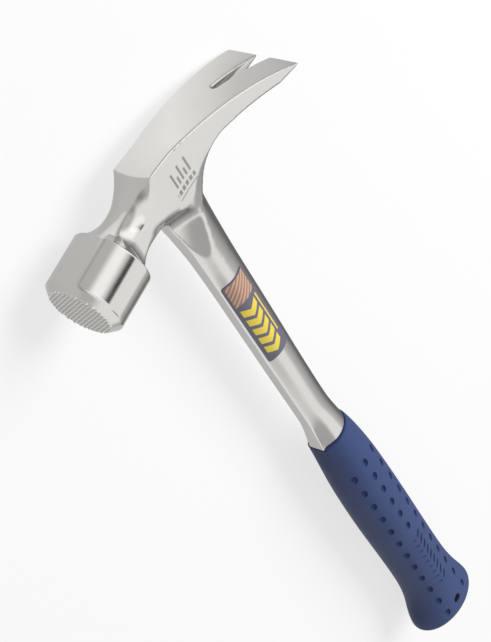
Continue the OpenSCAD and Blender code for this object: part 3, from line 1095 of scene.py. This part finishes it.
class Nodes:
    """Short hand for a material's or a world's node tree."""

    def __init__(self, owner):
        owner.use_nodes = True
        self.tree = owner.node_tree

    def feed(self, node, inputs):
        """Gives a node its inputs, each a value or another node's output."""
        for key, value in inputs.items():
            if isinstance(value, bpy.types.NodeSocket):
                self.tree.links.new(value, node.inputs[key])
            else:
                node.inputs[key].default_value = value

    def add(self, kind, inputs=None, **settings):
        """Outputs of a new node with its inputs and settings."""
        node = self.tree.nodes.new(kind)
        for key, value in settings.items():
            setattr(node, key, value)
        self.feed(node, inputs or {})
        return node.outputs

    def maths(self, operation, a, b=0.0, c=0.0):
        """Output of a Math node."""
        return self.add("ShaderNodeMath", {0: a, 1: b, 2: c}, operation=operation)[0]

    def times(self, value, *factors):
        """Product of a value and its factors."""
        for factor in factors:
            value = self.maths("MULTIPLY", value, factor)
        return value

    def vector(self, operation, a, b=(0, 0, 0)):
        """Value of a Vector Math node."""
        return self.add("ShaderNodeVectorMath", {0: a, 1: b}, operation=operation)["Value"]

    def axes(self, vector):
        """X, Y and Z of a vector."""
        return self.add("ShaderNodeSeparateXYZ", {0: vector})

    def mapping(self, vector, location=(0, 0, 0), scale=(1, 1, 1)):
        """Vector that is scaled and then moved."""
        inputs = {"Vector": vector, "Location": location, "Scale": scale}
        return self.add("ShaderNodeMapping", inputs)["Vector"]

    def within(self, value, low, high, soft):
        """1 where a value lies between two bounds and 0 outside, with soft sides."""
        rise = self.maths("MULTIPLY_ADD", value, 1 / soft, 0.5 - low / soft)
        fall = self.maths("MULTIPLY_ADD", value, -1 / soft, 0.5 + high / soft)
        return self.add("ShaderNodeClamp", {0: self.maths("MINIMUM", rise, fall)})[0]

    def remap(self, value, low, high, to_low, to_high):
        """Value carried from one range to another and kept inside it."""
        inputs = {"Value": value, 1: low, 2: high, 3: to_low, 4: to_high}
        return self.add("ShaderNodeMapRange", inputs, clamp=True)["Result"]

    def blend(self, factor, first, second):
        """Colour between two colours."""
        inputs = {0: factor, 6: first, 7: second}
        return self.add("ShaderNodeMix", inputs, data_type="RGBA")[2]

    def uneven(self, factor, colour, swing):
        """Colour that swings between a little darker and a little lighter."""
        return self.blend(factor, tone(colour, 1 - swing), tone(colour, 1 + swing))

    def noise(self, vector, scale, detail=3.0):
        """Noise value at a place."""
        inputs = {"Vector": vector, "Scale": scale, "Detail": detail}
        return self.add("ShaderNodeTexNoise", inputs)["Fac"]

    def bump(self, height, strength, distance):
        """Normal that is tilted by a height."""
        inputs = {"Strength": strength, "Distance": distance, "Height": height}
        return self.add("ShaderNodeBump", inputs)["Normal"]

    def rays(self):
        """Whether a ray comes from the camera, and whether it is mirrored or passed on by a surface."""
        path = self.add("ShaderNodeLightPath")
        mirrored = self.maths("ADD", path["Is Glossy Ray"], path["Is Transmission Ray"])
        return path["Is Camera Ray"], mirrored


def tone(colour, ratio):
    """Colour made lighter or darker, as the value of a colour socket."""
    return (*(min(1.0, part * ratio) for part in colour), 1.0)


def new_finish(name):
    """New material, its nodes, its shader and its place in the drawing frame in millimetres."""
    material = bpy.data.materials.new(name)
    nodes = Nodes(material)
    here = nodes.add("ShaderNodeTexCoord")["Object"]
    place = nodes.mapping(here, -crossing() / MM, (1 / MM, 1 / MM, 1 / MM))
    return material, nodes, nodes.tree.nodes["Principled BSDF"], place


def steel_finish(finishes, head):
    """Polished steel: faint grinding lines, worn spots, painted shade in the mill grooves and an etched
    cheek mark.
    """
    material, nodes, shader, place = new_finish("polished_steel")
    x, y, z = nodes.axes(place)
    cloud = nodes.noise(place, 0.05)
    grind = nodes.noise(nodes.mapping(place, scale=(2.2, 0.12, 2.2)), 1.6, 5.0)
    radius = nodes.vector("LENGTH", nodes.mapping(place, scale=(1, 0, 1)))
    face = head.face_reach / MM
    face_radius = (head.poll_diameter / 2 - head.face_bevel) / MM
    on_face = nodes.remap(y, face - 1.2, face - 1.1, 0.0, 1.0)
    milled = nodes.times(nodes.within(radius, -1.0, face_radius - 0.1, 0.2), on_face)
    # painted shade: the steel is darkened the deeper a point lies in the milled grooves
    groove_painted_shade = nodes.times(nodes.remap(y, face - 0.8, face - 0.1, 1.0, 0.0), milled)
    mark = cheek_mark(nodes, x, y, z)
    steel = nodes.uneven(cloud, finishes.steel, 0.05)
    steel = nodes.blend(groove_painted_shade, steel, tone(finishes.steel, 0.6))
    steel = nodes.blend(nodes.times(mark, 0.8), steel, tone(finishes.steel, 0.42))
    rough = nodes.remap(nodes.maths("ADD", cloud, grind), 0.6, 1.4, 0.09, 0.15)
    rough = nodes.maths("MULTIPLY_ADD", nodes.maths("MAXIMUM", milled, mark), 0.28, rough)
    looks = {
        "Base Color": steel,
        "Metallic": 1.0,
        "Roughness": rough,
        "Normal": nodes.bump(grind, 0.05, 0.00004),
    }
    nodes.feed(shader, looks)
    return material


def cheek_mark(nodes, x, y, z):
    """Etched mark on the upper cheek: long and short ticks, a row of dashes and a thin line."""

    def band(value, low, high):
        return nodes.within(value, low, high, ETCH_SOFT)

    beat = nodes.maths("WRAP", y, 4.4)
    long_ticks = nodes.times(band(beat, 0.5, 1.5), band(x, -1.4, 6.6))
    short_ticks = nodes.times(band(beat, 2.7, 3.7), band(x, -1.4, 2.6))
    ticks = nodes.times(nodes.maths("ADD", long_ticks, short_ticks), band(y, -8.8, 2.0))
    dashes = nodes.times(band(nodes.maths("WRAP", y, 2.4), 0.3, 1.9), band(x, -5.4, -3.2))
    rows = nodes.times(nodes.maths("ADD", dashes, band(x, -7.4, -6.9)), band(y, -9.0, 3.0))
    mark = nodes.maths("MINIMUM", nodes.maths("ADD", ticks, rows), 1.0)
    return nodes.times(mark, nodes.remap(z, 8.0, 8.2, 0.0, 1.0))


def vinyl_finish(finishes, grip, shank):
    """Satin moulded vinyl: uneven colour, a fine pebble grain, a soft sheen and painted shade in the
    hang hole.
    """
    material, nodes, shader, place = new_finish("navy_vinyl")
    hole = Vector((-shank.reach - grip.reach + grip.hang_from_butt, 0, 0)) / MM
    from_hole = nodes.vector("LENGTH", nodes.mapping(place, -hole, (1, 1, 0)))
    bore = grip.hang_diameter / 2 / MM
    # painted shade: the vinyl inside the hang hole's bore is darkened to a near-black copy
    hole_painted_shade = nodes.remap(from_hole, bore + 0.1, bore + 0.25, 1.0, 0.0)
    vinyl = nodes.uneven(nodes.noise(place, 0.06), finishes.vinyl, 0.12)
    grain = nodes.noise(place, 2.2, 4.0)
    looks = {
        "Base Color": nodes.blend(hole_painted_shade, vinyl, tone(finishes.vinyl, 0.12)),
        "Specular IOR Level": 0.28,
        "Sheen Weight": 0.15,
        "Sheen Roughness": 0.35,
        "Sheen Tint": tone(finishes.sheen, 1.0),
        "Roughness": nodes.remap(grain, 0.3, 0.7, 0.42, 0.56),
        "Normal": nodes.bump(grain, 0.12, 0.0001),
    }
    nodes.feed(shader, looks)
    return material


def label_finish(finishes, label):
    """Printed film: slate ground, copper hatching at the head end, yellow chevrons and a thin line."""
    material, nodes, shader, place = new_finish("printed_film")
    copper, sand, yellow = (
        tone(ink, 1.0) for ink in (finishes.label_copper, finishes.label_sand, finishes.label_yellow)
    )

    def band(value, low, high):
        return nodes.within(value, low, high, PRINT_SOFT)

    x, y, _ = nodes.axes(place)
    along = nodes.maths("MULTIPLY_ADD", x, -1.0, -label.drop / MM)
    across = nodes.maths("MULTIPLY_ADD", y, -1.0, label.front / MM)
    middle = nodes.maths("ABSOLUTE", nodes.maths("ADD", across, -5.6))
    ground = nodes.uneven(nodes.noise(place, 0.4), finishes.label_ground, 0.08)
    hatch = nodes.maths("WRAP", nodes.maths("ADD", along, across), 3.0)
    stripes = nodes.blend(nodes.within(hatch, 0.2, 1.7, 0.25), copper, sand)
    panel = nodes.times(band(along, 0.9, 15.0), band(across, 0.9, 12.3))
    slant = nodes.maths("MULTIPLY_ADD", middle, 0.8, along)
    bar = band(nodes.maths("WRAP", slant, 7.0), 0.4, 5.0)
    chevrons = nodes.times(bar, band(middle, -1.0, 4.2), band(slant, 20.0, 55.0))
    rule = nodes.times(band(across, 11.0, 11.8), band(along, 18.0, 46.0))
    inked = nodes.maths("MAXIMUM", chevrons, rule)
    looks = {
        "Base Color": nodes.blend(inked, nodes.blend(panel, ground, stripes), yellow),
        "Roughness": nodes.remap(nodes.noise(place, 1.5), 0.3, 0.7, 0.32, 0.42),
        "Coat Weight": 0.25,
        "Coat Roughness": 0.2,
    }
    nodes.feed(shader, looks)
    return material


def floor_finish():
    """White paper that keeps the shadow: plain diffuse, and a glow for the rays that show it. Seen in
    reflections the paper is darker, with a painted glow patch near the head and painted shade towards
    -Y.
    """
    paper = bpy.data.materials.new("floor_paper")
    nodes = Nodes(paper)
    nodes.tree.nodes.clear()
    seen, mirrored = nodes.rays()
    here = nodes.add("ShaderNodeTexCoord")["Object"]
    x, y, _ = nodes.axes(here)
    # painted glow: a bright patch on the floor near the head that only reflections show
    painted_glow_patch = nodes.times(
        nodes.remap(nodes.vector("DISTANCE", here, PAINTED_GLOW_PLACE), 0.02, 0.16, 0.97, 0.5),
        nodes.remap(y, 0.012, 0.03, 1.0, 0.0),
        nodes.remap(x, 0.1, 0.17, 0.0, 1.0),
        nodes.remap(y, -0.08, -0.035, 0.68, 1.0),
    )
    # painted shade for reflections: the floor's glow drops towards -Y
    plain = nodes.remap(y, -0.01, 0.02, 0.06, 0.56)
    glow = nodes.times(mirrored, nodes.maths("MAXIMUM", painted_glow_patch, plain))
    glow = nodes.maths("MULTIPLY_ADD", seen, 0.72, glow)
    # painted shade for reflections: the paper is darker in mirrored rays than for the camera
    paper_tone_and_reflection_shade = nodes.blend(mirrored, (0.25, 0.25, 0.25, 1), (0.1, 0.1, 0.1, 1))
    matt = nodes.add("ShaderNodeBsdfDiffuse", {"Color": paper_tone_and_reflection_shade})[0]
    light = nodes.add("ShaderNodeEmission", {"Strength": glow})[0]
    both = nodes.add("ShaderNodeAddShader", {0: matt, 1: light})[0]
    nodes.add("ShaderNodeOutputMaterial", {"Surface": both})
    return paper


def studio_world():
    """White surroundings with a dark gap overhead, dim low sides and a plain fill for matt surfaces."""
    world = bpy.data.worlds.new("studio")
    nodes = Nodes(world)
    nodes.tree.nodes.clear()
    way = nodes.add("ShaderNodeTexCoord")["Generated"]
    _, y, height = nodes.axes(way)

    def lobe(direction, edge, core, strength):
        toward = nodes.vector("DOT_PRODUCT", way, direction)
        return nodes.remap(toward, edge, core, 0.0, strength)

    aside = nodes.vector("DOT_PRODUCT", way, GAP_SIDE)
    gap = nodes.times(
        nodes.remap(aside, -0.06, -0.02, 0.0, 1.0),
        nodes.remap(aside, 0.1, 0.3, 1.0, 0.0),
        nodes.remap(height, 0.5, 0.65, 0.0, 1.0),
        nodes.within(y, -0.4, -0.28, 0.03),
    )
    band = nodes.remap(height, 0.46, 0.54, 0.42, 0.0)
    low = nodes.maths("ADD", band, nodes.remap(height, 0.05, 0.42, 0.38, 0.0))
    dims = [gap, nodes.times(lobe(*REAR_DIM), low)]
    for *dim, full, gone in LOW_DIMS:
        fade = nodes.remap(height, full, gone, 1.0, 0.0)
        dims.append(nodes.times(lobe(*dim), fade))
    dims.append(lobe(*HIGH_DIM))
    level = nodes.times(*(nodes.maths("SUBTRACT", 1.0, dim) for dim in dims))
    for glow in GLOWS:
        level = nodes.maths("ADD", level, lobe(*glow))
    seen, mirrored = nodes.rays()
    shown = nodes.maths("ADD", seen, mirrored)
    fill = nodes.maths("MULTIPLY_ADD", shown, -FILL_LEVEL, FILL_LEVEL)
    level = nodes.maths("MULTIPLY_ADD", mirrored, level, fill)
    level = nodes.maths("ADD", level, seen)
    sky = nodes.add("ShaderNodeBackground", {"Color": (1, 1, 1, 1), "Strength": level})[0]
    nodes.add("ShaderNodeOutputWorld", {"Surface": sky})
    return world


def softbox(name, place, size, watts):
    """Large soft lamp that looks at the hammer."""
    lamp = bpy.data.lights.new(name, "AREA")
    lamp.size = size
    lamp.energy = watts
    box = bpy.data.objects.new(name, lamp)
    box.location = place
    box.rotation_euler = (-box.location).to_track_quat("-Z", "Y").to_euler()
    box.visible_glossy = False
    bpy.context.scene.collection.objects.link(box)


class HAMMER_OT_stage(Operator):
    """Set the floor, the studio light and the camera"""

    bl_idname = "hammer.stage"
    bl_label = "Set the stage"

    def execute(self, context):
        scene = context.scene
        scene.view_settings.view_transform = "Standard"
        bpy.ops.object.select_all(action="DESELECT")
        bpy.ops.mesh.primitive_plane_add(size=6, location=(0, 0, -0.5 * MM))
        floor = context.object
        floor.name = "floor"
        dress(floor, floor_finish())
        scene.world = studio_world()
        softbox("key_softbox", Vector((0.2, -1.1, 1.2)), 1.2, 27)
        camera = bpy.data.objects.new("camera", bpy.data.cameras.new("camera"))
        right = Vector((-0.35211, -0.45662, 0.81701))
        up = Vector((0.51849, -0.82190, -0.23590))
        forward = Vector((-0.77922, -0.34055, -0.52616))
        turned = Matrix((right, up, -forward)).transposed().to_4x4()
        camera.matrix_world = Matrix.Translation((0.686396, 0.26878, 0.41735)) @ turned
        camera.data.lens = 103.61
        camera.data.clip_start = 0.01
        camera.data.clip_end = 20
        scene.collection.objects.link(camera)
        scene.camera = camera
        return {"FINISHED"}


class HAMMER_PT_maker(Panel):
    """Sizes, colours and steps of the hammer"""

    bl_idname = "HAMMER_PT_maker"
    bl_label = "Framing hammer"
    bl_space_type = "VIEW_3D"
    bl_region_type = "UI"
    bl_category = "Hammer"

    def draw(self, context):
        for step in STEPS:
            self.layout.operator(step.bl_idname)
        for name in GROUPS:
            group = getattr(context.scene, name)
            box = self.layout.box()
            for key in group.bl_rna.properties.keys():
                if key not in ("rna_type", "name"):
                    box.prop(group, key)


STEPS = (HAMMER_OT_forging, HAMMER_OT_grip, HAMMER_OT_label, HAMMER_OT_stage)
GROUPS = {
    "hammer_head": HeadSizes,
    "hammer_shank": ShankSizes,
    "hammer_grip": GripSizes,
    "hammer_label": LabelSizes,
    "hammer_finishes": Finishes,
}
CLASSES = (*GROUPS.values(), *STEPS, HAMMER_PT_maker)


def register():
    """Registers the classes and hangs the property groups on the scene."""
    for item in CLASSES:
        bpy.utils.register_class(item)
    for name, group in GROUPS.items():
        setattr(bpy.types.Scene, name, PointerProperty(type=group))


def unregister():
    """Takes the property groups and the classes away again."""
    for name in GROUPS:
        delattr(bpy.types.Scene, name)
    for item in reversed(CLASSES):
        bpy.utils.unregister_class(item)


def main():
    """Makes the hammer and its stage."""
    register()
    bpy.ops.hammer.forging()
    bpy.ops.hammer.grip()
    bpy.ops.hammer.label()
    bpy.ops.hammer.stage()


if __name__ == "__main__":
    main()
